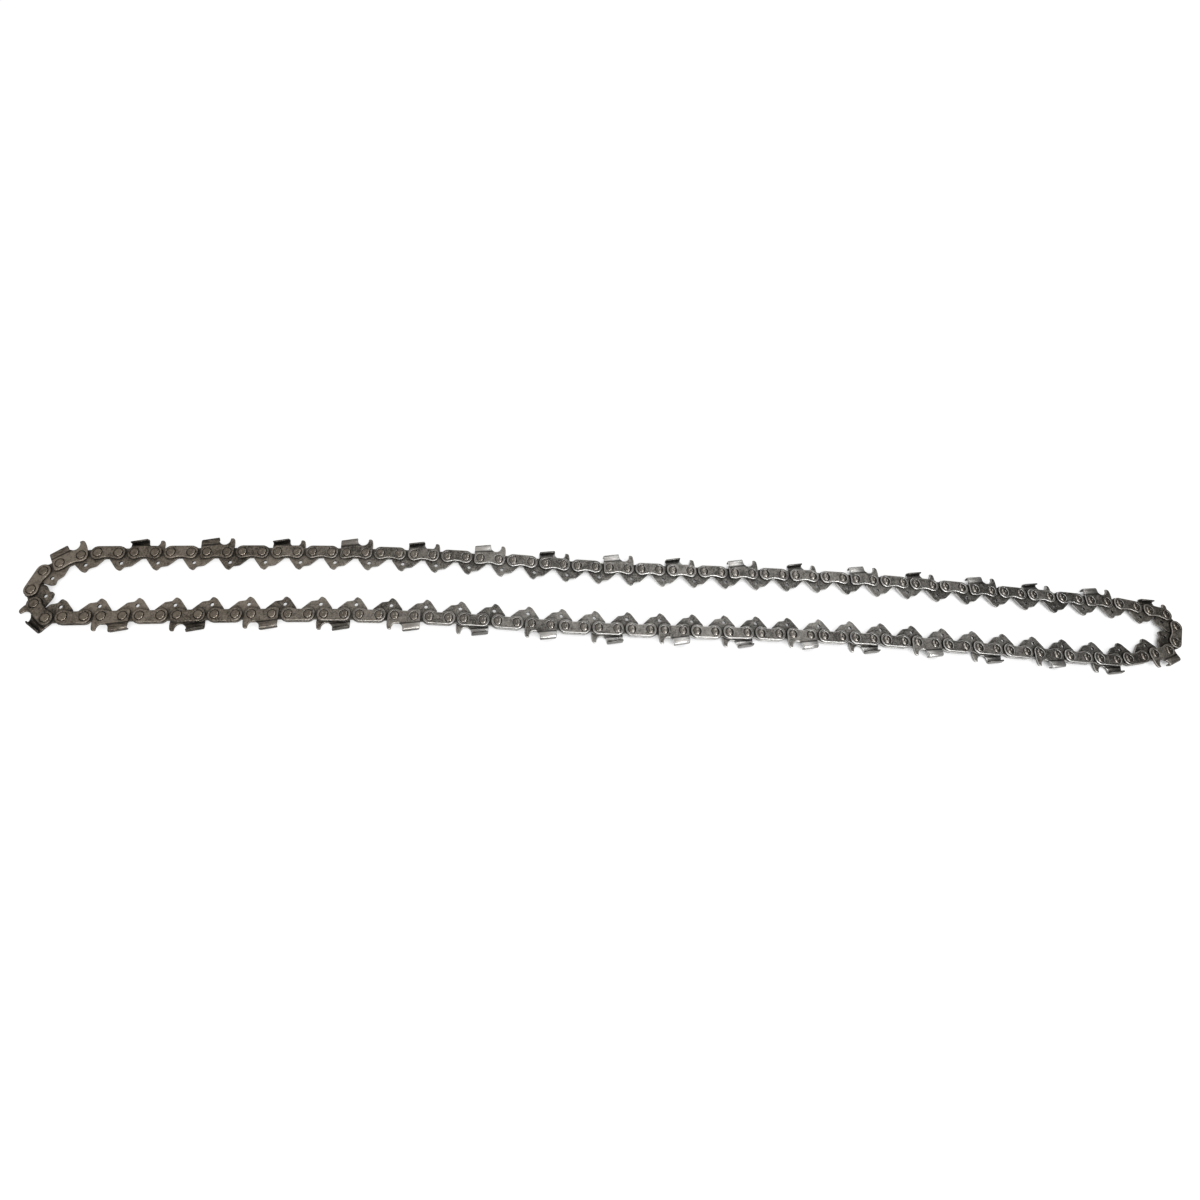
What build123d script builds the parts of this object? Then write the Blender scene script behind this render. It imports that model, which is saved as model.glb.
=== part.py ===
from build123d import *
import os
from functools import lru_cache
from math import acos, atan2, cos, degrees, hypot, radians, sin

os.makedirs("parts", exist_ok=True)

# Driving dimensions of a chainsaw chain, in millimetres and degrees.
# The loop lies on its side. A link's own x runs the way the chain travels,
# its y points out of the loop and its z points up, to the near side.
PITCH = 19.05            # three rivets on: twice the nominal 3/8 inch pitch
OUTER_SPAN = 10.66       # rivet to rivet on a strap or a cutter
DRIVE_THICK = 1.5        # gauge of the drive link, which runs in the bar's groove
STRAP_THICK = 1.4
SIDE_PLAY = 0.05         # between a drive link and the links beside it
RIVET_R = 2.3
RIVET_HEAD = 0.6         # stands out of a strap by this much
RIVET_FIT = 0.02         # radial, in a strap's or a cutter's hole
RIVET_PLAY = 0.05        # radial, in a drive link's hole
LOBE_R = 3.7             # end of a strap about its rivet
LOBE_SWELL = 1.08        # corners of that end lie further out by this, which keeps a circle's area
WAIST = 2.6              # rivet line to a strap's inner edge, halfway between its rivets

TANG_DEPTH = 9.9         # rivet line to the tip of the tang
TANG_BACK = 1.9          # tip behind the middle of the drive link
TANG_HEEL = 2.4          # rear corner of the tang behind the tip
TANG_LIFT = 1.0          # that corner above the tip
TANG_STEP = 1.7          # foot of the step in front of the tip
TANG_SHOULDER = 7.5      # rivet line to the shoulder in front of the step
SHOULDER_BACK = 0.8      # shoulder stops behind the front rivet by this much
DRIVE_END = 3.9          # end of a drive link beyond its rivet
DRIVE_TOP = 3.7          # rivet line to its outer edge
DRIVE_CORNER = 1.0       # outer edge runs past each rivet by this much
DRIVE_SADDLE = 2.6       # rivet line to the dip of the outer edge between the rivets

CUTTER_TOP = 8.95        # rivet line to the cutting corner
CUTTER_FALL = 1.5        # tooth drops by this much to its heel
CUTTER_LENGTH = 9.5      # tooth, cutting corner to heel
CUTTER_HEEL = 3.6        # heel behind the rear rivet
CUTTER_REACH = 4.7       # top plate across the chain
CUTTER_FLARE = 0.8       # tooth leans out of the side plate by this much
LEAN_TOP = 6.2           # rivet line to the end of the lean
FOLD = 1.2               # height of the fold's slope under the top plate
PLATE_THICK = 1.2        # top plate
HEEL_CUT = 1.6           # slanted corner under the heel
GULLET_R = 3.05          # round notch between the tooth and the depth gauge
GULLET_FLOOR = 4.15      # rivet line to the bottom of the gullet
GULLET_SIDES = 8
GAUGE_TOP = 7.9          # rivet line to the top of the depth gauge
GAUGE_REACH = 4.0        # gauge's front edge beyond the front rivet
GAUGE_BROW = 1.3         # slanted corner of its top

# How the loop lies, in degrees. Both long runs follow the same slight bends.
RUN_OUTER_LINKS = 32     # straps, or a cutter and a strap, along each run
RUN_GAP = (0.4 * PITCH, 1.87 * PITCH)
RUN_HEADINGS = (3, 3, 2, -0.5, -2.8, 0, 0.3, -1, -2.8, -3.2, -3)
RIGHT_OUT_HEADINGS = (-6, -9, -12, -13)
RIGHT_BACK_HEADINGS = (218, 193, 192, 189, 186)
LEFT_OUT_HEADINGS = (186, 137, 117)
LEFT_BACK_HEADINGS = (28, 12)

DRIVE_SPAN = PITCH - OUTER_SPAN
INNER_FACE = DRIVE_THICK / 2 + SIDE_PLAY
OUTER_FACE = INNER_FACE + STRAP_THICK
RIVET_LENGTH = 2 * (OUTER_FACE + RIVET_HEAD)
HALF_OUTER = OUTER_SPAN / 2
HALF_DRIVE = DRIVE_SPAN / 2
RUN_LINKS = 2 * RUN_OUTER_LINKS - 1
RIGHT_LINKS = len(RIGHT_OUT_HEADINGS) + 2 + len(RIGHT_BACK_HEADINGS)
LEFT_START = 2 * RUN_LINKS + RIGHT_LINKS


def plate(points, low, high):
    """A flat plate with this outline, between two heights."""
    face = make_face(Polyline(*points, close=True))
    return Pos(0, 0, low) * extrude(face, high - low)


def lobe(x, angle):
    """A corner of the rounded end about a rivet at x."""
    radius = LOBE_R if angle % 180 == 90 else LOBE_R * LOBE_SWELL
    return (x + radius * cos(radians(angle)), radius * sin(radians(angle)))


def pierced(link, half, turned, play):
    """The link with a hole at each end that turns on a rivet."""
    for end in turned:
        link -= Pos(end * half, 0, 0) * Cylinder(RIVET_R + play, RIVET_LENGTH)
    return link


def rivet(turned):
    """A rivet with its two ends standing out of the links that it holds."""
    return Cylinder(RIVET_R, RIVET_LENGTH)


def tie_strap(turned):
    """A near-side strap: two rounded ends, and a waist on its inner edge."""
    front = [lobe(HALF_OUTER, angle) for angle in (-90, -30, 30, 90)]
    rear = [lobe(-HALF_OUTER, angle) for angle in (90, 150, 210, 270)]
    strap = plate([*front, *rear, (0, -WAIST)], INNER_FACE, OUTER_FACE)
    return pierced(strap, HALF_OUTER, turned, RIVET_FIT)


def tooth(heel, length):
    """The top of a cutter, drawn from its heel: a sheet that leans out and folds over."""
    edge = OUTER_FACE + CUTTER_FLARE
    tip = edge - CUTTER_REACH
    roof = CUTTER_TOP - PLATE_THICK
    section = [(GULLET_FLOOR, OUTER_FACE), (LEAN_TOP, edge), (CUTTER_TOP - FOLD, edge)]
    section += [(CUTTER_TOP, edge - FOLD), (CUTTER_TOP, tip), (roof, tip)]
    section += [(roof, edge - STRAP_THICK), (GULLET_FLOOR, INNER_FACE)]
    drop = CUTTER_FALL / CUTTER_LENGTH * length
    face = make_face(Polyline(*[(heel, y - drop, z) for y, z in section], close=True))
    return extrude(face, hypot(length, drop), dir=(length, drop, 0))


def cutter(turned):
    """A near-side cutter: side plate with a square heel, round gullet, depth gauge and folded tooth."""
    heel = -HALF_OUTER - CUTTER_HEEL
    prow = HALF_OUTER + GAUGE_REACH
    gullet_x = heel + CUTTER_LENGTH + GULLET_R
    gullet_y = GULLET_FLOOR + GULLET_R
    side = [(heel, HEEL_CUT - LOBE_R), (heel + HEEL_CUT, -LOBE_R), (0, -WAIST)]
    side += [lobe(HALF_OUTER, 270), lobe(HALF_OUTER, 330)]
    side += [(prow, GAUGE_TOP - GAUGE_BROW), (prow - GAUGE_BROW, GAUGE_TOP), (gullet_x, GAUGE_TOP)]
    side += [(gullet_x, GULLET_FLOOR), (heel, GULLET_FLOOR - CUTTER_FALL)]
    link = plate(side, INNER_FACE, OUTER_FACE) + tooth(heel, gullet_x - heel)
    notch = extrude(RegularPolygon(GULLET_R, GULLET_SIDES), CUTTER_REACH, both=True)
    link -= Pos(gullet_x, gullet_y, 0) * notch
    return pierced(link, HALF_OUTER, turned, RIVET_FIT)


def drive_link(turned):
    """A drive link: a pointed tang with a shoulder in front, and a dip between its rivets."""
    end = HALF_DRIVE + DRIVE_END
    rise = DRIVE_TOP / 2
    corner = HALF_DRIVE + DRIVE_CORNER
    outline = [(end, -rise), (end, rise), (corner, DRIVE_TOP), (0, DRIVE_SADDLE)]
    outline += [(-corner, DRIVE_TOP), (-end, rise), (-end, -rise)]
    outline += [(-TANG_BACK - TANG_HEEL, TANG_LIFT - TANG_DEPTH), (-TANG_BACK, -TANG_DEPTH)]
    outline += [(TANG_STEP - TANG_BACK, -TANG_SHOULDER), (HALF_DRIVE - SHOULDER_BACK, -TANG_SHOULDER)]
    link = plate(outline, -DRIVE_THICK / 2, DRIVE_THICK / 2)
    return pierced(link, HALF_DRIVE, turned, RIVET_PLAY)


def link_span(index):
    """Outer links and drive links take turns round the loop."""
    return DRIVE_SPAN if index % 2 else OUTER_SPAN


def step(point, heading, length):
    """The rivet at the far end of a link."""
    return (point[0] + length * cos(radians(heading)), point[1] + length * sin(radians(heading)))


def run_heading(index):
    """Heading of a link of a long run, eased between the listed bends."""
    place = index / (RUN_LINKS - 1) * (len(RUN_HEADINGS) - 1)
    low = min(int(place), len(RUN_HEADINGS) - 2)
    return RUN_HEADINGS[low] + (place - low) * (RUN_HEADINGS[low + 1] - RUN_HEADINGS[low])


def end_headings(start, goal, first, out, back):
    """Headings of an end of the loop, where two links between out and back bend outward to close it."""
    for count, heading in enumerate(out):
        start = step(start, heading, link_span(first + count))
    elbow = first + len(out)
    for count, heading in reversed(list(enumerate(back))):
        goal = step(goal, heading + 180, link_span(elbow + 2 + count))
    near = link_span(elbow)
    far = link_span(elbow + 1)
    gap = hypot(goal[0] - start[0], goal[1] - start[1])
    base = degrees(atan2(goal[1] - start[1], goal[0] - start[0]))
    turn = degrees(acos((near**2 + gap**2 - far**2) / (2 * near * gap)))
    bend = step(start, base + turn, near)
    closing = degrees(atan2(goal[1] - bend[1], goal[0] - bend[0]))
    return [*out, base + turn, closing, *back]


def loop():
    """Headings and rivets of the whole chain, in the order that it travels."""
    headings = [run_heading(index) for index in range(RUN_LINKS)]
    top_left = (0.0, 0.0)
    top_right = top_left
    for index, heading in enumerate(headings):
        top_right = step(top_right, heading, link_span(index))
    low_left = (top_left[0] - RUN_GAP[0], top_left[1] - RUN_GAP[1])
    low_right = (top_right[0] - RUN_GAP[0], top_right[1] - RUN_GAP[1])
    back = [heading + 180 for heading in reversed(headings)]
    right = end_headings(top_right, low_right, RUN_LINKS, RIGHT_OUT_HEADINGS, RIGHT_BACK_HEADINGS)
    left = end_headings(low_left, top_left, LEFT_START, LEFT_OUT_HEADINGS, LEFT_BACK_HEADINGS)
    headings = headings + right + back + left
    rivets = [top_left]
    for index, heading in enumerate(headings[:-1]):
        rivets.append(step(rivets[-1], heading, link_span(index)))
    return headings, rivets


def body_of(index):
    """The stretch of the loop that a link belongs to."""
    if index < RUN_LINKS:
        return "upper_run"
    if index < RUN_LINKS + RIGHT_LINKS:
        return "right_end"
    if index < LEFT_START:
        return "lower_run"
    return "left_end"


MAKERS = {
    "drive_links": drive_link,
    "near_straps": tie_strap,
    "far_straps": tie_strap,
    "right_cutters": cutter,
    "left_cutters": cutter,
    "pivot_rivets": rivet,
}
FAR_SIDE = ("far_straps", "left_cutters")


@lru_cache
def made(kind, turned):
    """One piece of this kind, mirrored if it belongs on the far side."""
    piece = MAKERS[kind](turned)
    return mirror(piece, about=Plane.XY) if kind in FAR_SIDE else piece


def assemble():
    """Every link of the loop, and the rivets that it turns on, sorted into named groups."""
    headings, rivets = loop()
    groups = {}

    def add(body, kind, turned, place):
        groups.setdefault(body + "_" + kind, []).append(place * made(kind, turned))

    for index, heading in enumerate(headings):
        body = body_of(index)
        turned = tuple(way for way in (-1, 1) if body_of((index + way) % len(headings)) != body)
        rear = Pos(*rivets[index]) * Rot(0, 0, heading)
        middle = rear * Pos(link_span(index) / 2, 0, 0)
        if index % 2:
            add(body, "drive_links", turned, middle)
            continue
        hand = index // 2 % 4
        add(body, "right_cutters" if hand == 3 else "near_straps", turned, middle)
        add(body, "left_cutters" if hand == 1 else "far_straps", turned, middle)
        for way in turned:
            add(body, "pivot_rivets", turned, middle * Pos(way * HALF_OUTER, 0, 0))
    return groups


groups = assemble()
box = Compound([solid for solids in groups.values() for solid in solids]).bounding_box()
centre = box.center()
for name, solids in groups.items():
    placed = [Pos(-centre.X, -centre.Y, -box.min.Z) * solid for solid in solids]
    export_step(Compound(children=placed), "parts/" + name + ".step")
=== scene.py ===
"""Looks of a chainsaw chain loop: every link and rivet in detail, its steel, and the studio."""
import random
from math import acos, atan2, cos, degrees, hypot, pi, radians, sin, sqrt, tan
from types import SimpleNamespace

import bmesh
import bpy
import numpy as np
from mathutils import Matrix, Vector


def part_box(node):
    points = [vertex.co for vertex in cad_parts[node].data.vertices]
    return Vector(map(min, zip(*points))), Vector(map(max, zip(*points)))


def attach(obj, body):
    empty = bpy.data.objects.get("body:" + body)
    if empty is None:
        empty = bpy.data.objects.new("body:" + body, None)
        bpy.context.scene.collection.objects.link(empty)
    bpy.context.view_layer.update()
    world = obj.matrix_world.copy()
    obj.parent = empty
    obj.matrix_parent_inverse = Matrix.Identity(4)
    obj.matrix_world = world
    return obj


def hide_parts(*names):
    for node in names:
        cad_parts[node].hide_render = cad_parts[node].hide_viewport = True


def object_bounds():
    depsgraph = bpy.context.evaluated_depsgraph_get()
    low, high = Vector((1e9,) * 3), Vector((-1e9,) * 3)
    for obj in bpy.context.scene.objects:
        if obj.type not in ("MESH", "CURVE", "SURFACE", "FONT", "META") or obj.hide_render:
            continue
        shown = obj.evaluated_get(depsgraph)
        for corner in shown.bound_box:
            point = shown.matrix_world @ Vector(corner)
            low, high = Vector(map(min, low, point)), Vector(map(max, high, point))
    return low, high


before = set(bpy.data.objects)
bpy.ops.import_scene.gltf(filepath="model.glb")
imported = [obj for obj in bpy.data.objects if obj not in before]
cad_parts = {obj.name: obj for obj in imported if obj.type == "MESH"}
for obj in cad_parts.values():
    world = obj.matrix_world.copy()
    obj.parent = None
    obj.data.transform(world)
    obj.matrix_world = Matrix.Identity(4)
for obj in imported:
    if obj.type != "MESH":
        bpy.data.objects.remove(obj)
CAD_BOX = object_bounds()

# Sizes of the links, in millimetres. A link's own x runs the way the chain travels, its y points out
# of the loop and its z points up, to the near side, from the middle of the chain's thickness.
MM = 0.001
PITCH = 19.05            # over three rivets: one outer link and one drive link
OUTER_SPAN = 10.66       # rivet to rivet on a strap or a cutter
DRIVE_SPAN = PITCH - OUTER_SPAN
HALF_OUTER = OUTER_SPAN / 2
HALF_DRIVE = DRIVE_SPAN / 2
DRIVE_THICK = 1.5
STRAP_THICK = 1.4
SIDE_PLAY = 0.05         # between a strap's face and a drive link's
STRAP_MIDDLE = DRIVE_THICK / 2 + SIDE_PLAY + STRAP_THICK / 2
OUTER_FACE = STRAP_MIDDLE + STRAP_THICK / 2
LOBE_R = 3.7             # end of a strap about its rivet
WAIST = 2.6              # rivet line to a strap's inner edge, halfway between its rivets
EDGE_ROUND = 0.42
SHARP_EDGE = 50          # degrees: faces that meet at a larger angle get a rounded edge
ROUND_STEP = 15          # degrees between the corners of an arc
HOLE_SIDES = 24
FLAT_RIM = 0.0001        # a face that leans less than this is shaded flat

# The rivet. Its dome is given as radius, and depth under the head's highest ring.
RIVET_R = 2.3
RIVET_HEAD = 0.6         # stands out of a strap by this much
RIVET_PLAY = 0.05        # radial, in a drive link's hole
RIVET_DIMPLE = ((0, 0.17), (0.35, 0.14), (0.55, 0.03), (0.75, 0))
RIVET_DOME = ((1.1, 0.05), (1.45, 0.12), (1.75, 0.2), (2.0, 0.3), (2.2, 0.43), (RIVET_R, 0.56))

# Corners of the drive link, as x, y and the radius that each is rounded to
DRIVE_END = HALF_DRIVE + 3.8
DRIVE_TOP = 3.58
SADDLE_DIP = 2.6
SADDLE_REAR = ((-1.0, SADDLE_DIP, 1.0), (-2.4, DRIVE_TOP, 1.2), (-DRIVE_END, DRIVE_TOP, 3.38))
SADDLE_FRONT = ((DRIVE_END, DRIVE_TOP, 3.38), (2.4, DRIVE_TOP, 1.2), (1.0, SADDLE_DIP, 1.0))
TANG = ((-DRIVE_END - 0.2, -3.7, 1.2), (-4.2, -8.8, 1.0), (-1.9, -10.1, 1.2), (-0.2, -7.8, 1.5))
SHOULDER = ((3.4, -7.3, 1.6), (DRIVE_END, -3.2, 1.2))
OIL_HOLE_R = 1.0
OIL_HOLE = (-1.9, -5.7)

# The cutter's gullet and its depth gauge
GULLET_R = 3.05
GULLET = (3.4, 7.2)
GULLET_MOUTH = GULLET[1] + 1
GAUGE_FRONT = 9.2
GAUGE_TOP = 7.9
GAUGE_TIP = GAUGE_TOP - 0.1
GAUGE_ROUND = 1.55
GAUGE_BROW = (GAUGE_FRONT - 0.3 - GAUGE_ROUND, GAUGE_TOP - GAUGE_ROUND)
GAUGE_EDGE = ((GAUGE_FRONT - 0.1, 2.2), (GAUGE_FRONT, 3.6), (GAUGE_FRONT - 0.1, 5.4))

# The cutter's tooth: a flare that leans out, a fold, and a top plate that reaches back over the chain
HEEL_X = -8.85
HEEL_ROUND = 1.6
HEEL_CLEAR = 2           # the waisted edge is kept from this far in front of the rear rivet
HEEL_LOW = 0.1           # and where it is this close to the lowest line of the cutter
HEEL_DROP = 1.5          # the tooth falls by this much from its front to its heel
CREASE = 4.3             # rivet line to the foot of the flare, at the gullet
FLARE_RISE = 2.6
FLARE_TILT = 13
FLARE_STEPS = 3
FOLD_R = 0.95
FOLD_END = -98
FOLD_STEPS = 6
PLATE_REACH = 2.55
TIP_THICK = 0.85         # at the free edge of the top plate
TOP_PLATE_ANGLE = 6
FREE_EDGE = FLARE_RISE + radians(FLARE_TILT - FOLD_END) * FOLD_R + PLATE_REACH
TOOTH_HOLLOW = (5.5, -1.0)
HOLLOW_FACING = 0.35     # a face turned this far to the hollow's middle is inside it
# Painted shade in the tooth's hollow and on the oil hole's wall
HOLLOW_SHADE_START = 0.9 * FLARE_RISE
HOLE_SHADE = 0.8
WALL_FACING = 0.5        # walls face up or down by less than this

# How the loop lies, in degrees, with both long runs on the same slight bends
RUN_OUTER_LINKS = 32
RUN_LINKS = 2 * RUN_OUTER_LINKS - 1
RUN_HEADINGS = (3, 3, 2, -0.5, -2.8, 0, 0.3, -1, -2.8, -3.2, -3)
RUN_GAP = (0.4 * PITCH, 1.87 * PITCH)
RIGHT_OUT = (-6, -9, -12, -13)
RIGHT_BACK = (218, 193, 192, 189, 186)
LEFT_OUT = (186, 137, 117)
LEFT_BACK = (28, 12)
RIGHT_LINKS = len(RIGHT_OUT) + 2 + len(RIGHT_BACK)
LEFT_START = 2 * RUN_LINKS + RIGHT_LINKS

# Colours of the steel and the room, and how the finish and its painted shade change along the loop, between
# two places in metres
TOOTH = (0.93, 0.92, 0.9, 1)
# painted shade: the fold and top plate are coloured darker than the flare
SHADED_TOP_PLATE = (0.1, 0.096, 0.088, 1)
SOILED_TOOTH = (0.045, 0.04, 0.034, 1)
# painted shade in the tooth's hollow and the oil hole, black with lighter streaks
HOLLOW_SHADE_BLACK = (0.02, 0.018, 0.016, 1)
HOLLOW_SHADE_STREAK = (0.2, 0.19, 0.175, 1)
# painted shade, for crevices and along the crease
PAINTED_SHADE_COLOUR = (0.022, 0.02, 0.018, 1)
OIL_TINT = (0.95, 0.84, 0.72)
ROOM_BRIGHT = (0.39, 0.375, 0.355, 1)
ROOM_DIM = (0.06, 0.06, 0.06, 1)
OILY_LEFT = (-0.09, -0.24)
OILY_RIGHT = (0.27, 0.33)
PALE_LEFT = (-0.18, -0.28)
# painted shade towards the right end: darker faces, and a dimmer polish on the flare
SHADED_RIGHT = (0.08, 0.3)
POLISH_SHADE_RIGHT = (0.06, 0.22)
FLARE_SHINE = (0.25, 0.7)    # millimetres above the crease, where the flare's polish comes in
TONE_SPREAD = 40             # how far apart two links' streaks are drawn
# reach of the ambient occlusion for the painted shade in crevices, and for the painted shadow under the
# chain
CREVICE_SHADE_REACH = 0.0024         # metres
SHADOW_REACH = 0.012

FLOOR_HALF = 6.0             # metres
FLOOR_GLOW = 1.3


# Layout of the loop

def link_span(index):
    """Outer links and drive links take turns round the loop."""
    return DRIVE_SPAN if index % 2 else OUTER_SPAN


def step(point, heading, length):
    """The rivet at the far end of a link."""
    return (point[0] + length * cos(radians(heading)), point[1] + length * sin(radians(heading)))


def run_heading(index):
    """Heading of a link of a long run, eased between the listed bends."""
    place = index / (RUN_LINKS - 1) * (len(RUN_HEADINGS) - 1)
    low = min(int(place), len(RUN_HEADINGS) - 2)
    return RUN_HEADINGS[low] + (place - low) * (RUN_HEADINGS[low + 1] - RUN_HEADINGS[low])


def end_headings(start, goal, first, out, back):
    """Headings of an end of the loop, where two links between out and back bend outward to close it."""
    for count, heading in enumerate(out):
        start = step(start, heading, link_span(first + count))
    elbow = first + len(out)
    for count, heading in reversed(list(enumerate(back))):
        goal = step(goal, heading + 180, link_span(elbow + 2 + count))
    near = link_span(elbow)
    far = link_span(elbow + 1)
    gap = hypot(goal[0] - start[0], goal[1] - start[1])
    base = degrees(atan2(goal[1] - start[1], goal[0] - start[0]))
    turn = degrees(acos((near**2 + gap**2 - far**2) / (2 * near * gap)))
    bend = step(start, base + turn, near)
    closing = degrees(atan2(goal[1] - bend[1], goal[0] - bend[0]))
    return [*out, base + turn, closing, *back]


def loop(top_left):
    """Headings and rivets of the whole chain, in the order that it travels."""
    headings = [run_heading(index) for index in range(RUN_LINKS)]
    top_right = top_left
    for index, heading in enumerate(headings):
        top_right = step(top_right, heading, link_span(index))
    low_left = (top_left[0] - RUN_GAP[0], top_left[1] - RUN_GAP[1])
    low_right = (top_right[0] - RUN_GAP[0], top_right[1] - RUN_GAP[1])
    back = [heading + 180 for heading in reversed(headings)]
    right = end_headings(top_right, low_right, RUN_LINKS, RIGHT_OUT, RIGHT_BACK)
    left = end_headings(low_left, top_left, LEFT_START, LEFT_OUT, LEFT_BACK)
    headings = headings + right + back + left
    rivets = [top_left]
    for index, heading in enumerate(headings[:-1]):
        rivets.append(step(rivets[-1], heading, link_span(index)))
    return headings, rivets


def body_of(index):
    """The stretch of the loop that a link belongs to."""
    if index < RUN_LINKS:
        return "upper_run"
    if index < RUN_LINKS + RIGHT_LINKS:
        return "right_end"
    if index < LEFT_START:
        return "lower_run"
    return "left_end"


# Shapes of the pieces

def rounded(corners):
    """Outline through corners given as x, y and the radius that each is rounded to."""
    outline = []
    for count, (x, y, radius) in enumerate(corners):
        here = Vector((x, y))
        before = (Vector(corners[count - 1][:2]) - here).normalized()
        after = (Vector(corners[(count + 1) % len(corners)][:2]) - here).normalized()
        half = before.angle(after) / 2
        centre = here + (before + after).normalized() * radius / sin(half)
        start = here + before * radius / tan(half) - centre
        end = here + after * radius / tan(half) - centre
        turn = start.angle_signed(end)
        steps = max(1, round(abs(degrees(turn)) / ROUND_STEP))
        for part in range(steps + 1):
            spoke = start.copy()
            spoke.rotate(Matrix.Rotation(-turn * part / steps, 2))
            outline.append(tuple(centre + spoke))
    return outline


def arc(centre, radius, start, end):
    """Points along an arc, from one angle to another, in degrees."""
    steps = max(1, round(abs(end - start) / ROUND_STEP))
    angles = [radians(start + (end - start) * part / steps) for part in range(steps + 1)]
    return [(centre[0] + radius * cos(angle), centre[1] + radius * sin(angle)) for angle in angles]


def ring_turns(sides):
    """Angles of the corners of a round hole or a rivet."""
    return [2 * pi * part / HOLE_SIDES for part in range(sides)]


def rivet_holes(half, radius):
    """The two holes of a link, as x, y and radius."""
    return [(end * half, 0, radius) for end in (-1, 1)]


def waisted_edge():
    """Inner edge of a strap or cutter: its two round ends, and the hollow that joins them smoothly."""
    hollow_r = (HALF_OUTER**2 + WAIST**2 - LOBE_R**2) / (2 * (LOBE_R - WAIST))
    lean = degrees(atan2(WAIST + hollow_r, HALF_OUTER))
    rear = arc((-HALF_OUTER, 0), LOBE_R, 180, 360 - lean)
    hollow = arc((0, -WAIST - hollow_r), hollow_r, 180 - lean, lean)
    front = arc((HALF_OUTER, 0), LOBE_R, lean - 180, 0)
    return rear + hollow[1:-1] + front


def filled(outline, holes):
    """A flat sheet with round holes, each given as x, y and radius."""
    sheet = bmesh.new()
    rims = [outline]
    for x, y, radius in holes:
        rims.append([(x + radius * cos(turn), y + radius * sin(turn)) for turn in ring_turns(HOLE_SIDES)])
    for rim in rims:
        corners = [sheet.verts.new((x, y, 0)) for x, y in rim]
        for count, corner in enumerate(corners):
            sheet.edges.new((corners[count - 1], corner))
    bmesh.ops.triangle_fill(sheet, use_beauty=True, edges=sheet.edges[:], normal=(0, 0, 1))
    return sheet


def thickened(sheet, thick, thin=None):
    """A closed plate with rounded edges about the sheet, thinner towards the end of a fold."""
    bmesh.ops.recalc_face_normals(sheet, faces=sheet.faces[:])
    if sheet.faces[0].normal.z < 0:
        bmesh.ops.reverse_faces(sheet, faces=sheet.faces[:])
    sheet.normal_update()
    fold = sheet.verts.layers.float.get("fold")
    upper = sheet.verts[:]
    faces = sheet.faces[:]
    border = [side for face in faces for side in face.loops if side.edge.is_boundary]
    lower = {}
    for corner in upper:
        ease = min(max(corner[fold] - FLARE_RISE, 0) / PLATE_REACH, 1) if fold else 0
        half = corner.normal * corner.calc_shell_factor() * (thick + ease * ((thin or thick) - thick)) / 2
        lower[corner] = sheet.verts.new(corner.co - half, corner)
        corner.co += half
    walls = [(side.vert, side.link_loop_next.vert) for side in border]
    for face in faces:
        sheet.faces.new([lower[corner] for corner in reversed(face.verts[:])])
    for start, end in walls:
        sheet.faces.new((end, start, lower[start], lower[end]))
    sheet.normal_update()
    sharp = [edge for edge in sheet.edges if edge.calc_face_angle() > radians(SHARP_EDGE)]
    bevel = {"offset": EDGE_ROUND, "segments": 2, "profile": 0.5, "affect": "EDGES", "clamp_overlap": True}
    bmesh.ops.bevel(sheet, geom=sharp, **bevel)
    return sheet


class Piece:
    """Corners, faces and surface values of one link or rivet, ready to be repeated."""

    def __init__(self, mesh, height, far=False):
        mesh.normal_update()
        mesh.verts.index_update()
        layer = mesh.verts.layers.float.get("fold")
        self.corners = np.array([corner.co[:] for corner in mesh.verts]) + (0, 0, height)
        self.folds = [corner[layer] if layer else 0 for corner in mesh.verts]
        self.faces = [[corner.index for corner in face.verts] for face in mesh.faces]
        self.rims = [1 - abs(face.normal.z) for face in mesh.faces]
        self.hollow_shade = [self.hollow_shading(face, layer) for face in mesh.faces]
        if far:
            self.corners *= (1, 1, -1)
            self.faces = [face[::-1] for face in self.faces]
        mesh.free()

    def hollow_shading(self, face, layer):
        """Painted shade for the hollow of the tooth, and for the wall of the oil hole."""
        middle = face.calc_center_median()
        if layer and min(corner[layer] for corner in face.verts) > HOLLOW_SHADE_START:
            inward = Vector((0, TOOTH_HOLLOW[0] - middle.y, TOOTH_HOLLOW[1] - middle.z)).normalized()
            return float(face.normal.dot(inward) > HOLLOW_FACING)
        in_hole = (middle.xy - Vector(OIL_HOLE)).length < OIL_HOLE_R + EDGE_ROUND / 2
        return HOLE_SHADE * in_hole * (abs(face.normal.z) < WALL_FACING)


def tie_strap():
    """A strap: two round ends about its rivets, a straight outer edge and a hollow inner one."""
    front = arc((HALF_OUTER, 0), LOBE_R, ROUND_STEP, 90)
    rear = arc((-HALF_OUTER, 0), LOBE_R, 90, 180 - ROUND_STEP)
    return thickened(filled(waisted_edge() + front + rear, rivet_holes(HALF_OUTER, RIVET_R)), STRAP_THICK)


def drive_link():
    """A drive link: pointed tang, stepped shoulder in front of it, saddle between the rivets, oil hole."""
    outline = rounded([*SADDLE_FRONT, *SADDLE_REAR, *TANG, *SHOULDER])
    holes = rivet_holes(HALF_DRIVE, RIVET_R + RIVET_PLAY)
    return thickened(filled(outline[::-1], [*holes, (*OIL_HOLE, OIL_HOLE_R)]), DRIVE_THICK)


def gullet_x(y):
    """Front edge of the cutter's tooth at this height, where the gullet hollows it."""
    return GULLET[0] - sqrt(max(GULLET_R**2 - (y - GULLET[1])**2, 0))


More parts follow.
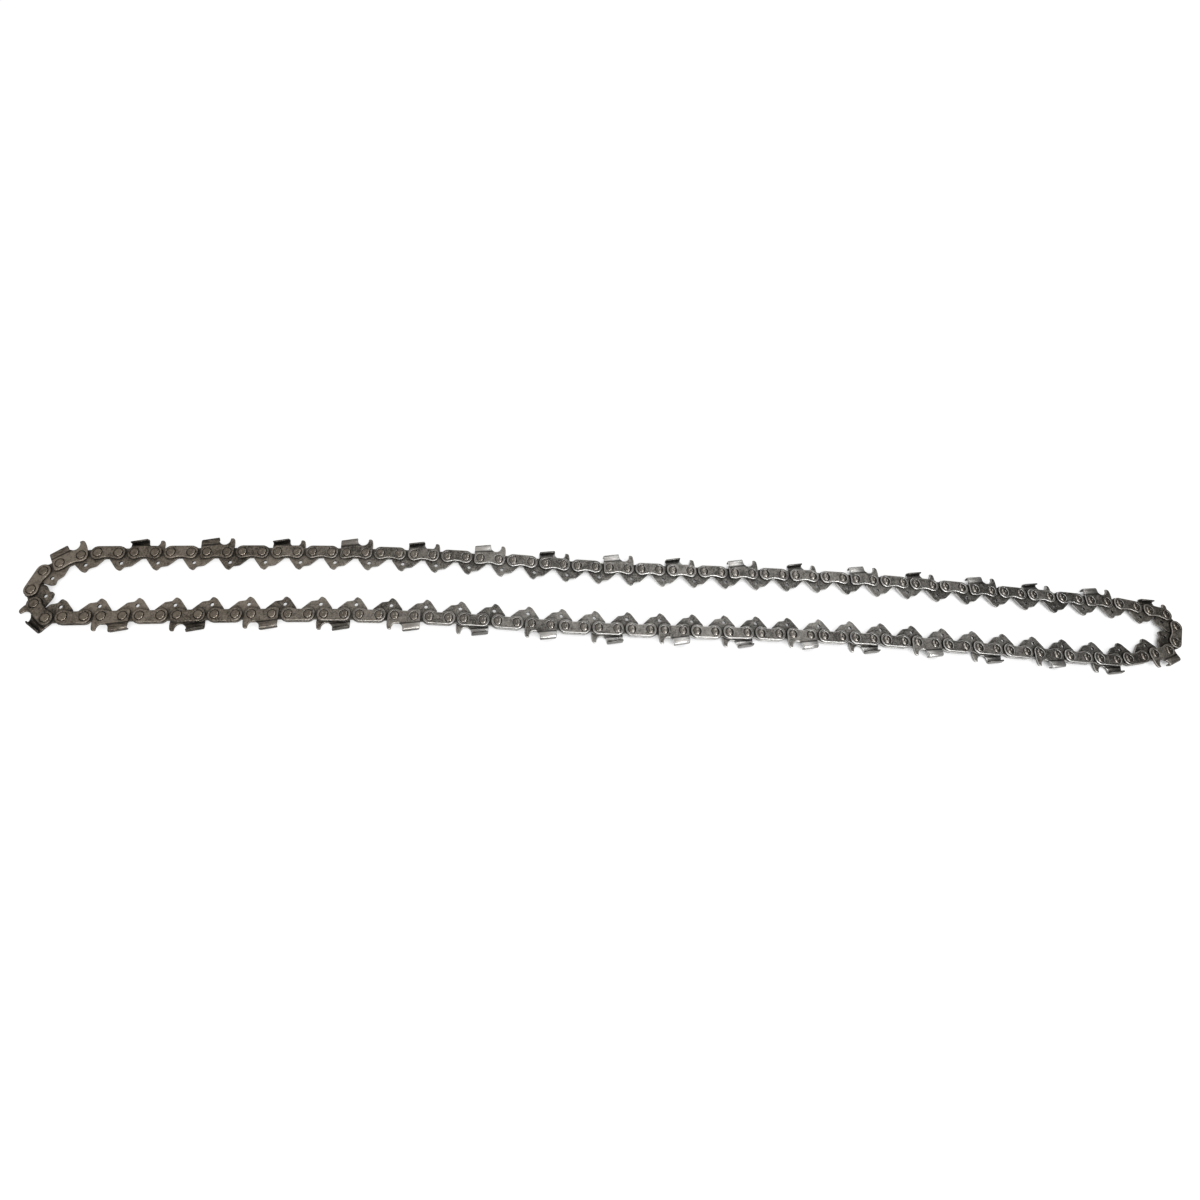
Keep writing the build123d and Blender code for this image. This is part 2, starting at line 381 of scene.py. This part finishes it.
def tooth_path():
    """Rise and reach of the tooth's sheet above its crease: the flare, the fold and the top plate."""
    rise, out, lean = 0.0, 0.0, FLARE_TILT
    path = []
    for part in range(FLARE_STEPS):
        rise += FLARE_RISE / FLARE_STEPS * cos(radians(FLARE_TILT))
        out += FLARE_RISE / FLARE_STEPS * sin(radians(FLARE_TILT))
        path.append((rise, out))
    turn = (FOLD_END - FLARE_TILT) / FOLD_STEPS
    chord = 2 * FOLD_R * sin(radians(abs(turn)) / 2)
    for part in range(FOLD_STEPS):
        rise += chord * cos(radians(lean + turn / 2))
        out += chord * sin(radians(lean + turn / 2))
        lean += turn
        path.append((rise, out))
    path.append((rise + PLATE_REACH * cos(radians(lean)), out + PLATE_REACH * sin(radians(lean))))
    return path


def cutter_outline(heel_foot, front_foot):
    """Flat outline of a cutter: square heel, waisted inner edge, depth gauge and round gullet."""
    floor_end = degrees(atan2(front_foot[1] - GULLET[1], front_foot[0] - GULLET[0]))
    hook = degrees(atan2(GAUGE_TIP - GULLET[1], GULLET_R))
    gullet = arc(GULLET, GULLET_R, hook, floor_end)
    gauge = [*GAUGE_EDGE, *arc(GAUGE_BROW, GAUGE_ROUND, 5, 90)]
    heel = [heel_foot, *arc((HEEL_X + HEEL_ROUND, HEEL_ROUND - LOBE_R), HEEL_ROUND, 180, 270)]
    waist = [(x, y) for x, y in waisted_edge() if x > HEEL_CLEAR - HALF_OUTER or y < HEEL_LOW - LOBE_R]
    return heel + waist[1:] + gauge + gullet


def cutter():
    """A cutter: its flat outline, with a tooth that flares and folds over."""
    front_foot = (gullet_x(CREASE), CREASE)
    heel_foot = (HEEL_X, CREASE - HEEL_DROP)
    sheet = filled(cutter_outline(heel_foot, front_foot), rivet_holes(HALF_OUTER, RIVET_R))
    fold = sheet.verts.layers.float.new("fold")
    row = []
    for foot in (heel_foot, front_foot):
        row.append(min(sheet.verts, key=lambda corner: (corner.co.xy - Vector(foot)).length))
    path = tooth_path()
    widest = max(out for rise, out in path)
    run = 0.0
    before = (0.0, 0.0)
    for rise, out in path:
        run += hypot(rise - before[0], out - before[1])
        before = (rise, out)
        height = CREASE + rise
        set_back = (widest - out) * tan(radians(TOP_PLATE_ANGLE)) if rise > FLARE_RISE else 0
        heel_corner = sheet.verts.new((HEEL_X, heel_foot[1] + rise, out))
        front_corner = sheet.verts.new((gullet_x(min(height, GULLET_MOUTH)) - set_back, height, out))
        heel_corner[fold] = run
        front_corner[fold] = run
        sheet.faces.new((row[0], row[1], front_corner, heel_corner))
        row = [heel_corner, front_corner]
    return thickened(sheet, STRAP_THICK, TIP_THICK)


def rivet():
    """A rivet: straight shank, and a low domed head with a small dimple at each end."""
    crown = OUTER_FACE + RIVET_HEAD
    profile = [(radius, crown - depth) for radius, depth in (*RIVET_DIMPLE, *RIVET_DOME)]
    profile += [(radius, -height) for radius, height in reversed(profile)]
    mesh = bmesh.new()
    rings = []
    for radius, height in profile:
        turns = ring_turns(HOLE_SIDES if radius else 1)
        rings.append([mesh.verts.new((radius * cos(turn), radius * sin(turn), height)) for turn in turns])
    for upper, lower in zip(rings, rings[1:]):
        for count in range(HOLE_SIDES):
            ring = [upper[count - 1 if len(upper) > 1 else 0], lower[count - 1 if len(lower) > 1 else 0]]
            ring += [lower[count if len(lower) > 1 else 0], upper[count if len(upper) > 1 else 0]]
            mesh.faces.new(list(dict.fromkeys(ring)))
    bmesh.ops.recalc_face_normals(mesh, faces=mesh.faces[:])
    return mesh


# Finishes

class Field:
    """A socket of a material's nodes, which takes part in expressions as a number does."""

    def __init__(self, tree, socket=None):
        self.tree = tree
        self.socket = socket

    def node(self, kind, settings, inputs, output=0):
        """Add any node, with its settings made first, and give one of its outputs."""
        node = self.tree.nodes.new("ShaderNode" + kind)
        for name, value in settings.items():
            setattr(node, name, value)
        for name, value in inputs.items():
            if isinstance(value, Field):
                self.tree.links.new(value.socket, node.inputs[name])
            else:
                node.inputs[name].default_value = value
        return Field(self.tree, node.outputs[output] if node.outputs else None)

    def math(self, operation, first, second):
        """A Math node on two values."""
        return self.node("Math", {"operation": operation}, {0: first, 1: second})

    def __add__(self, other):
        return self.math("ADD", self, other)

    __radd__ = __add__

    def __sub__(self, other):
        return self.math("SUBTRACT", self, other)

    def __rsub__(self, other):
        return self.math("SUBTRACT", other, self)

    def __mul__(self, other):
        return self.math("MULTIPLY", self, other)

    __rmul__ = __mul__

    def clipped(self, low, high):
        """The value spread from low to high over 0 to 1, and held there."""
        inputs = {"Value": self, "From Min": low, "From Max": high}
        return self.node("MapRange", {"clamp": True}, inputs)

    def mixed(self, first, second):
        """A colour between two, by this value."""
        return self.node("Mix", {"data_type": "RGBA"}, {0: self, 6: first, 7: second}, 2)

    def blended(self, first, second):
        """A shader between two, by this value."""
        return self.node("MixShader", {}, {0: self, 1: first, 2: second})


def empty_material(name):
    """A material with no nodes, and a field to start expressions from."""
    material = bpy.data.materials.new(name)
    material.use_nodes = True
    material.node_tree.nodes.clear()
    return material, Field(material.node_tree)


def noise(make, place, scale, detail, roughness=0.5):
    """Cloudy noise over the whole chain."""
    inputs = {"Vector": place, "Scale": scale, "Detail": detail, "Roughness": roughness}
    return make.node("TexNoise", {}, inputs)


def streaks(make, tone, stretch, detail):
    """Noise stretched over a link's own x, y and z, and drawn anew for each link."""
    own = make.node("Attribute", {"attribute_name": "own_place"}, {}, "Vector")
    stretched = make.node("Mapping", {}, {"Vector": own, "Scale": stretch})
    inputs = {"Vector": stretched, "W": tone * TONE_SPREAD, "Scale": 1, "Detail": detail}
    return make.node("TexNoise", {"noise_dimensions": "4D"}, inputs)


def steel_marks(make):
    """What the finishes are made from: a point's place on the chain and on its link, its wear, and the
    painted shade of its crevices and hollows.
    """
    place = make.node("TexCoord", {}, {}, "Object")
    along = make.node("SeparateXYZ", {}, {"Vector": place}, "X")
    tone = make.node("Attribute", {"attribute_name": "tone"}, {}, "Fac")
    rim = make.node("Attribute", {"attribute_name": "rim"}, {}, "Fac")
    fold = make.node("Attribute", {"attribute_name": "fold"}, {}, "Fac")
    hollow_shade = make.node("Attribute", {"attribute_name": "hollow_shade"}, {}, "Fac")
    open_air = make.node("AmbientOcclusion", {"samples": 4}, {"Distance": CREVICE_SHADE_REACH}, "AO")
    cloud = noise(make, place, 330, 5, 0.62)
    speck = noise(make, place, 1300, 3, 0.6)
    grain = noise(make, place, 5200, 2)
    streak = streaks(make, tone, (0.22, 3.6, 3.6), 3).clipped(0.36, 0.66)
    shear = streaks(make, tone, (0.1, 0.1, 2.4), 2).clipped(0.4, 0.6)
    # painted shade: darker where the ambient occlusion finds close neighbours, in crevices, under strap
    # edges and round rivet heads
    crevice_shade = (1 - open_air).clipped(0.06, 0.5)
    oil = (along.clipped(*OILY_LEFT) + along.clipped(*OILY_RIGHT) * 0.6).clipped(0, 1)
    worn = rim.clipped(0.02, 0.06) * rim.clipped(0.97, 0.6) * (0.6 + speck * 0.7) * (1 - oil)
    # painted shade: the flare's polish fades towards the right end; oil dulls it too
    shine_and_shade = (0.65 + streak * 0.35) * (1 - oil * 0.92) * (1 - along.clipped(*POLISH_SHADE_RIGHT) * 0.6)
    polish = fold.clipped(*FLARE_SHINE) * shine_and_shade
    return SimpleNamespace(
        along=along, tone=tone, rim=rim, fold=fold, hollow_shade=hollow_shade, cloud=cloud, speck=speck, grain=grain,
        streak=streak, shear=shear, crevice_shade=crevice_shade, oil=oil, worn=worn, polish=polish,
    )


def plate_colour(marks, face, mottle, edge, walls):
    """Mottled faces, paler at the left end and darker towards the right as painted shade, edges worn bright,
    and sheared walls that are bright in streaks.
    """
    # painted shade: darker towards the right end; the left end is paler
    pale_left_shaded_right = marks.along.clipped(*PALE_LEFT) * 0.06 - marks.along.clipped(*SHADED_RIGHT) * 0.07
    blotch = (marks.cloud * 0.7 + marks.speck * 0.9 + marks.tone * 0.2 + pale_left_shaded_right).clipped(0.72, 1.1)
    faces = blotch.mixed((*face, 1), (*mottle, 1))
    cut = marks.rim.clipped(0.9, 0.98) * marks.shear * walls * (1 - marks.oil)
    return (marks.worn + cut).clipped(0, 1).mixed(faces, (*edge, 1))


def tooth_colour(make, marks, plate):
    """The plate with its tooth: bright flare, painted shade on the fold and top plate, in the hollow, along
    the crease and in crevices, and oil.
    """
    # painted shade: the fold and top plate darken away from the bright flare
    bend = marks.fold.clipped(FLARE_RISE + 0.5, FLARE_RISE + 1.1) * (1 - marks.streak * 0.35)
    shown = marks.polish.mixed(plate, bend.mixed(TOOTH, SHADED_TOP_PLATE))
    dirt = marks.oil * marks.fold.clipped(*FLARE_SHINE) * marks.streak.clipped(0.9, 0.1) * 0.85
    soiled = dirt.mixed(shown, SOILED_TOOTH)
    oily = make.node("VectorMath", {"operation": "MULTIPLY"}, {0: soiled, 1: OIL_TINT})
    browned = (marks.oil * 0.75).mixed(soiled, oily)
    # painted shade in the tooth's hollow and on the oil hole's wall, in streaks, and darker towards the top
    # plate's free edge
    scale = (marks.streak * 0.8).mixed(HOLLOW_SHADE_BLACK, HOLLOW_SHADE_STREAK)
    hollow_shade_share = (marks.hollow_shade * 0.92 + marks.fold.clipped(FREE_EDGE - 0.5, FREE_EDGE) * 0.7).clipped(0, 1)
    # painted shade: a dark stripe along the crease at the foot of the flare, joined with the painted shade
    # of crevices
    crease = marks.fold.clipped(0.0, 0.25) * marks.fold.clipped(1.2, 0.6)
    painted_shade_share = (marks.crevice_shade * 0.85 + crease * 0.8).clipped(0, 1)
    return painted_shade_share.mixed(hollow_shade_share.mixed(browned, scale), PAINTED_SHADE_COLOUR)


def dark_steel(name, face, mottle, edge, walls=0.15, gloss=0.34):
    """Oiled dark steel, in the colours of its faces, their mottling and their worn edges."""
    material, make = empty_material(name)
    marks = steel_marks(make)
    colour = tooth_colour(make, marks, plate_colour(marks, face, mottle, edge, walls))
    rough = gloss + marks.cloud * 0.14 + marks.speck * 0.1 + marks.crevice_shade * 0.2 + marks.hollow_shade * 0.2
    rough = rough - marks.polish * 0.14 - marks.worn * 0.08
    height = marks.cloud * 0.9 + marks.speck * 0.7 + marks.grain * 0.25 + marks.streak * marks.polish * 0.5
    relief = make.node("Bump", {}, {"Strength": 0.5, "Distance": 0.00007, "Height": height})
    inputs = {"Base Color": colour, "Roughness": rough, "Metallic": 0.94, "Normal": relief}
    surface = make.node("BsdfPrincipled", {}, inputs)
    make.node("OutputMaterial", {}, {"Surface": surface})
    return material


FINISHES = {
    "drive_links": dark_steel(
        "drive_link_steel", (0.1, 0.097, 0.09), (0.5, 0.482, 0.452), (0.92, 0.91, 0.89), walls=0.9
    ),
    "straps": dark_steel("strap_steel", (0.1, 0.096, 0.088), (0.48, 0.46, 0.43), (0.88, 0.87, 0.85)),
    "cutters": dark_steel("cutter_steel", (0.1, 0.096, 0.088), (0.48, 0.46, 0.43), (0.8, 0.79, 0.77)),
    "rivets": dark_steel(
        "rivet_steel", (0.2, 0.19, 0.172), (0.42, 0.395, 0.36), (0.32, 0.3, 0.275), walls=0.1, gloss=0.1
    ),
}


# Assembly

MADE = {
    "drive_links": Piece(drive_link(), 0),
    "near_straps": Piece(tie_strap(), STRAP_MIDDLE),
    "far_straps": Piece(tie_strap(), STRAP_MIDDLE, far=True),
    "right_cutters": Piece(cutter(), STRAP_MIDDLE),
    "left_cutters": Piece(cutter(), STRAP_MIDDLE, far=True),
    "rivets": Piece(rivet(), 0),
}
MADE["pivot_rivets"] = MADE["rivets"]


def places():
    """Where every piece goes: its node, its middle and its heading."""
    low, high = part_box("upper_run_pivot_rivets")
    corner = (low.x / MM + RIVET_R, high.y / MM - RIVET_R)
    headings, rivets = loop(corner)
    found = {}
    for index, heading in enumerate(headings):
        body = body_of(index)
        rear = rivets[index]
        front = step(rear, heading, link_span(index))
        middle = ((rear[0] + front[0]) / 2, (rear[1] + front[1]) / 2)
        if index % 2:
            found.setdefault((body, "drive_links"), []).append((middle, heading))
            continue
        hand = index // 2 % 4
        near = "right_cutters" if hand == 3 else "near_straps"
        far = "left_cutters" if hand == 1 else "far_straps"
        found.setdefault((body, near), []).append((middle, heading))
        found.setdefault((body, far), []).append((middle, heading))
        for way, point in ((-1, rear), (1, front)):
            pivot = body_of((index + way) % len(headings)) != body
            kind = "pivot_rivets" if pivot else "rivets"
            found.setdefault((body, kind), []).append((point, heading))
    return found


def repeated(name, piece, spots, draw):
    """One mesh with the piece at each spot, and a tone of its own for each."""
    middle_z = (CAD_BOX[0].z + CAD_BOX[1].z) / 2
    corners, faces, tones = [], [], []
    for (x, y), heading in spots:
        turn = np.array(Matrix.Rotation(radians(heading), 3, "Z"))
        start = len(corners) * len(piece.corners)
        corners.append((piece.corners @ turn.T + (x, y, 0)) * MM + (0, 0, middle_z))
        faces += [[start + corner for corner in face] for face in piece.faces]
        tones += [draw.random()] * len(piece.faces)
    count = len(spots)
    mesh = bpy.data.meshes.new(name)
    mesh.from_pydata(np.concatenate(corners), [], faces)
    own = np.tile(piece.corners, (count, 1)).ravel()
    mesh.attributes.new("own_place", "FLOAT_VECTOR", "POINT").data.foreach_set("vector", own)
    mesh.attributes.new("fold", "FLOAT", "POINT").data.foreach_set("value", piece.folds * count)
    for mark, values in (("tone", tones), ("hollow_shade", piece.hollow_shade * count), ("rim", piece.rims * count)):
        mesh.attributes.new(mark, "FLOAT", "FACE").data.foreach_set("value", values)
    mesh.polygons.foreach_set("use_smooth", [rim > FLAT_RIM for rim in piece.rims] * count)
    mesh.update()
    made = bpy.data.objects.new(name, mesh)
    bpy.context.scene.collection.objects.link(made)
    return made


def dress_chain():
    """Put the detailed links in place of the plain ones."""
    draw = random.Random(7)
    for (body, kind), spots in places().items():
        node = body + "_" + kind
        made = repeated("detailed_" + node, MADE[kind], spots, draw)
        family = next(family for family in FINISHES if kind.endswith(family))
        made.data.materials.append(FINISHES[family])
        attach(made, body)
        if kind != "rivets":
            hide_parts(node)


# Studio

def paper(make, level):
    """Matt paper of a grey level."""
    return make.node("BsdfDiffuse", {}, {"Color": (level, level, level, 1)})


def floor_glow(make, level):
    """The floor's own light, which only the camera and mirrored rays see."""
    return make.node("Emission", {}, {"Color": (level, level, level, 1), "Strength": FLOOR_GLOW})


def white_paper():
    """Paper that stays white to the eye and keeps the chain's shadow, with a painted shadow under the chain,
    and a painted glow that the chain mirrors most in the middle.
    """
    material, make = empty_material("white_paper")
    seen = make.node("LightPath", {}, {}, "Is Camera Ray")
    mirrored = make.node("LightPath", {}, {}, "Is Glossy Ray")
    place = make.node("TexCoord", {}, {}, "Object")
    along = make.node("SeparateXYZ", {}, {"Vector": place}, "X")
    open_air = make.node("AmbientOcclusion", {"samples": 4}, {"Distance": SHADOW_REACH}, "AO")
    # painted shadow: under the chain, where the ambient occlusion is closed, the paper turns dark and stops
    # glowing, half as deep at the left end
    under = (1 - open_air.clipped(0.12, 0.5)) * (0.5 + along.clipped(-0.16, 0.02) * 0.5)
    ground = under.blended(paper(make, 0.8), paper(make, 0.1))
    # painted light: the floor glows in the chain's reflections, brightest near the middle, dim at the left
    # end and dimmer towards the right
    middle = along.clipped(-0.13, 0.02) * (1 - along.clipped(0.08, 0.26) * 0.75)
    mirrored_glow = middle.blended(floor_glow(make, 0.3), floor_glow(make, 0.8))
    glow = mirrored.blended(floor_glow(make, 1), mirrored_glow)
    share = seen * 0.72 * (1 - under) + mirrored * 0.85
    make.node("OutputMaterial", {}, {"Surface": share.blended(ground, glow)})
    return material


def floor():
    """A wide white sheet under the chain."""
    mesh = bpy.data.meshes.new("white_floor")
    corners = [(x * FLOOR_HALF, y * FLOOR_HALF, 0) for x, y in ((-1, -1), (1, -1), (1, 1), (-1, 1))]
    mesh.from_pydata(corners, [], [(0, 1, 2, 3)])
    mesh.materials.append(white_paper())
    sheet = bpy.data.objects.new("white_floor", mesh)
    bpy.context.scene.collection.objects.link(sheet)


def dim_room():
    """A room that is brighter high up on the left, and white where the camera sees it."""
    world = bpy.data.worlds.new("dim_room")
    world.use_nodes = True
    world.node_tree.nodes.clear()
    make = Field(world.node_tree)
    seen = make.node("LightPath", {}, {}, "Is Camera Ray")
    way = make.node("TexCoord", {}, {}, "Generated")
    across = make.node("SeparateXYZ", {}, {"Vector": way}, "X")
    high = make.node("SeparateXYZ", {}, {"Vector": way}, "Z")
    dim = 1 - high.clipped(0.25, 0.65) * (1 - across.clipped(0.15, 0.55))
    shade = dim.mixed(ROOM_BRIGHT, ROOM_DIM)
    room = make.node("Background", {}, {"Color": shade, "Strength": 1.0})
    white = make.node("Background", {}, {"Color": (1, 1, 1, 1), "Strength": 1.0})
    make.node("OutputWorld", {}, {"Surface": seen.blended(room, white)})
    bpy.context.scene.world = world


def softbox(name, place, aim, size, power):
    """A soft lamp at a place, facing a point of the chain's length."""
    lamp = bpy.data.lights.new(name, "AREA")
    lamp.shape = "RECTANGLE"
    lamp.size, lamp.size_y = size
    lamp.energy = power
    made = bpy.data.objects.new(name, lamp)
    made.location = place
    made.rotation_euler = (Vector((aim, 0, 0)) - Vector(place)).to_track_quat("-Z", "Y").to_euler()
    bpy.context.scene.collection.objects.link(made)


def lamps():
    """Soft lamps round the chain, with sizes in metres and power in watts."""
    softbox("overhead_right", (0.42, -0.2, 1.1), 0.05, (0.55, 0.34), 1.35)
    softbox("gleam_behind", (0.36, 0.43, 1.07), 0.03, (0.3, 0.3), 0.65)
    softbox("low_behind", (0.46, 0.9, 0.76), 0.05, (0.4, 0.25), 0.6)
    softbox("front_left", (-0.1, -0.95, 0.74), 0.1, (0.9, 0.3), 4)
    softbox("rivet_gleam", (0.36, -0.46, 0.66), -0.2, (0.14, 0.14), 1.2)
    softbox("front_right_strip", (0.6, -1.0, 0.4), 0.1, (0.6, 0.4), 2.5)


def camera():
    """The photograph's view: from the left and above, with the frame shifted to hold the loop."""
    lens = bpy.data.cameras.new("camera")
    lens.sensor_width = 36
    lens.lens = 24.277
    lens.shift_x = 0.0367
    lens.shift_y = -0.1746
    lens.clip_start = 0.01
    made = bpy.data.objects.new("camera", lens)
    made.location = (-0.111, -0.1447, 0.4564)
    made.rotation_euler = (radians(32.142), radians(-7.191), radians(-0.142))
    bpy.context.scene.collection.objects.link(made)
    bpy.context.scene.camera = made


dress_chain()
floor()
dim_room()
lamps()
camera()
bpy.context.scene.view_settings.view_transform = "Standard"
